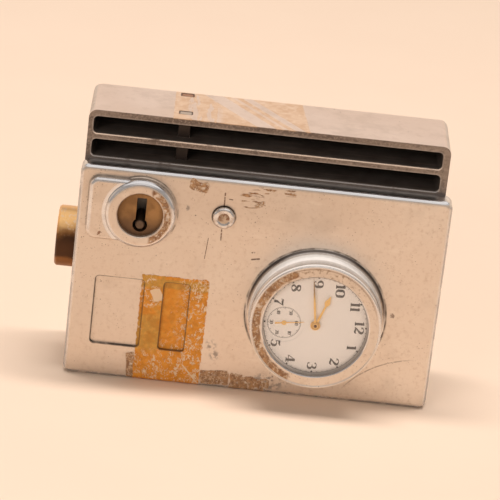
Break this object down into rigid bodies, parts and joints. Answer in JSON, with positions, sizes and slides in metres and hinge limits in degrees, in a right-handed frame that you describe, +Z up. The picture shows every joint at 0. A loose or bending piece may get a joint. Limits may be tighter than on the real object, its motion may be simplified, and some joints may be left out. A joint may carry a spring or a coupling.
{
  "type": "bookmaker clock",
  "caption": "Lockable cast-aluminium time clock for a money bag: watch dial in a round bezel, keyhole, brass push knob and two slots for the bag's frame bars.",
  "frame": {"origin": "middle of the bottom face of the rear frame's footprint, on the surface it stands on", "axes": "+Z up through the slots, +X to the viewer's right, +Y from the dial towards the back"},
  "size_m": [0.1379, 0.0506, 0.0975],
  "materials": {
    "cast_aluminium": "satin, worn",
    "cast_aluminium_frame": "satin, stained",
    "rivet_metal": "worn",
    "steel": "dull",
    "rusty_steel": "rusty",
    "spring_steel": "dark",
    "blued_steel": "blued",
    "brass": "satin",
    "brass_dark": "tarnished",
    "gilt_brass": "polished",
    "nickel_plate": "frosted",
    "dial_enamel": "glossy",
    "clear_glass": "clear"
  },
  "bodies": {
    "case": {"front_cover": "cast_aluminium", "rear_frame": "cast_aluminium_frame", "case_screws": "steel", "cover_stud": "rivet_metal", "lock_plate": "brass_dark", "key_pin": "steel", "lock_case": "steel", "lock_screws": "steel", "lever_springs": "spring_steel", "knob_bush": "brass", "wheel_post": "steel", "lever_post": "steel", "watch_glass": "clear_glass", "watch_dial": "dial_enamel", "main_plate": "nickel_plate", "movement_ring": "nickel_plate", "ring_screws": "steel", "barrel_bridge": "nickel_plate", "train_bridge": "nickel_plate", "balance_cock": "nickel_plate", "bridge_screws": "blued_steel"},
    "bolts": {"bolt_carriage": "brass", "front_bolt": "steel", "rear_bolt": "rusty_steel", "carriage_spring": "spring_steel"},
    "plunger": {"push_knob": "brass_dark", "knob_rod": "steel"},
    "lift_wheel": {"transfer_wheel": "brass"},
    "stop_arm": {"stop_lever": "steel"},
    "lock_bolt": {"lock_bolt": "steel"},
    "levers": {"lock_levers": "brass"},
    "minute_arbor": {"centre_wheel": "gilt_brass", "cannon_pinion": "steel", "minute_hand": "gilt_brass"},
    "hour_pipe": {"hour_wheel": "gilt_brass", "hour_hand": "gilt_brass"},
    "minute_wheel": {"minute_wheel": "gilt_brass"},
    "third_arbor": {"third_wheel": "gilt_brass"},
    "seconds_arbor": {"fourth_wheel": "gilt_brass", "seconds_hand": "gilt_brass"},
    "escape_arbor": {"escape_wheel": "steel"},
    "barrel": {"mainspring_barrel": "gilt_brass"},
    "barrel_arbor": {"ratchet_wheel": "steel"},
    "click": {"click": "blued_steel"},
    "pallet": {"pallet_fork": "steel"},
    "balance": {"balance_wheel": "gilt_brass", "hairspring": "blued_steel"}
  },
  "joints": [
    {"name": "knob_push", "type": "slide", "parent": "case", "child": "plunger", "axis": [1, 0, 0], "range_m": [0, 0.00567], "stiffness_N_per_m": 250, "springref_m": -0.012},
    {"name": "bolt_slide", "type": "slide", "parent": "case", "child": "bolts", "axis": [0, 0, -1], "range_m": [0, 0.017], "deforming": ["carriage_spring"]},
    {"name": "lift_wheel_turn", "type": "hinge", "parent": "case", "child": "lift_wheel", "pos_m": [-0.045, 0, 0.0397], "axis": [0, 1, 0], "range_deg": [0, 130.37]},
    {"name": "stop_arm_swing", "type": "hinge", "parent": "case", "child": "stop_arm", "pos_m": [-0.0315, 0, 0.06], "axis": [0, -1, 0], "range_deg": [0, 2.55]},
    {"name": "lock_throw", "type": "slide", "parent": "case", "child": "lock_bolt", "axis": [1, 0, 0], "range_m": [0, 0.003]},
    {"name": "lever_lift", "type": "hinge", "parent": "case", "child": "levers", "pos_m": [-0.0502, 0, 0.0555], "axis": [0, -1, 0], "range_deg": [0, 5], "stiffness_Nm_per_rad": 0.002, "springref_deg": -114.59},
    {"name": "minute_turn", "type": "hinge", "parent": "case", "child": "minute_arbor", "pos_m": [0.0221, 0, 0.0323], "axis": [0, 1, 0], "continuous": true},
    {"name": "hour_turn", "type": "hinge", "parent": "case", "child": "hour_pipe", "pos_m": [0.0221, 0, 0.0323], "axis": [0, 1, 0], "continuous": true},
    {"name": "minute_wheel_turn", "type": "hinge", "parent": "case", "child": "minute_wheel", "pos_m": [0.02356, 0, 0.02868], "axis": [0, 1, 0], "continuous": true},
    {"name": "third_turn", "type": "hinge", "parent": "case", "child": "third_arbor", "pos_m": [0.01592, 0, 0.02605], "axis": [0, 1, 0], "continuous": true},
    {"name": "seconds_turn", "type": "hinge", "parent": "case", "child": "seconds_arbor", "pos_m": [0.01106, 0, 0.03191], "axis": [0, 1, 0], "continuous": true},
    {"name": "escape_turn", "type": "hinge", "parent": "case", "child": "escape_arbor", "pos_m": [0.00873, 0, 0.0383], "axis": [0, 1, 0], "continuous": true},
    {"name": "barrel_turn", "type": "hinge", "parent": "case", "child": "barrel", "pos_m": [0.02817, 0, 0.03954], "axis": [0, 1, 0], "continuous": true},
    {"name": "winding", "type": "hinge", "parent": "case", "child": "barrel_arbor", "pos_m": [0.02817, 0, 0.03954], "axis": [0, 1, 0], "continuous": true},
    {"name": "click_swing", "type": "hinge", "parent": "case", "child": "click", "pos_m": [0.03464, 0, 0.03744], "axis": [0, 1, 0], "range_deg": [0, 12]},
    {"name": "pallet_rock", "type": "hinge", "parent": "case", "child": "pallet", "pos_m": [0.01246, 0, 0.04091], "axis": [0, 1, 0], "range_deg": [-5, 5]},
    {"name": "balance_swing", "type": "hinge", "parent": "case", "child": "balance", "pos_m": [0.0168, 0, 0.04395], "axis": [0, 1, 0], "range_deg": [-135, 135], "stiffness_Nm_per_rad": 0.0005}
  ],
  "couplings": [
    {"joint": "lift_wheel_turn", "follows": "knob_push", "rad_per_m": 400},
    {"joint": "bolt_slide", "follows": "knob_push", "ratio": 3},
    {"joint": "stop_arm_swing", "follows": "knob_push", "rad_per_m": 7.7},
    {"joint": "hour_turn", "follows": "minute_turn", "ratio": 0.083333},
    {"joint": "minute_wheel_turn", "follows": "minute_turn", "ratio": -0.33333},
    {"joint": "third_turn", "follows": "minute_turn", "ratio": -8},
    {"joint": "seconds_turn", "follows": "minute_turn", "ratio": 60},
    {"joint": "escape_turn", "follows": "minute_turn", "ratio": -600},
    {"joint": "barrel_turn", "follows": "minute_turn", "ratio": -0.16667}
  ]
}
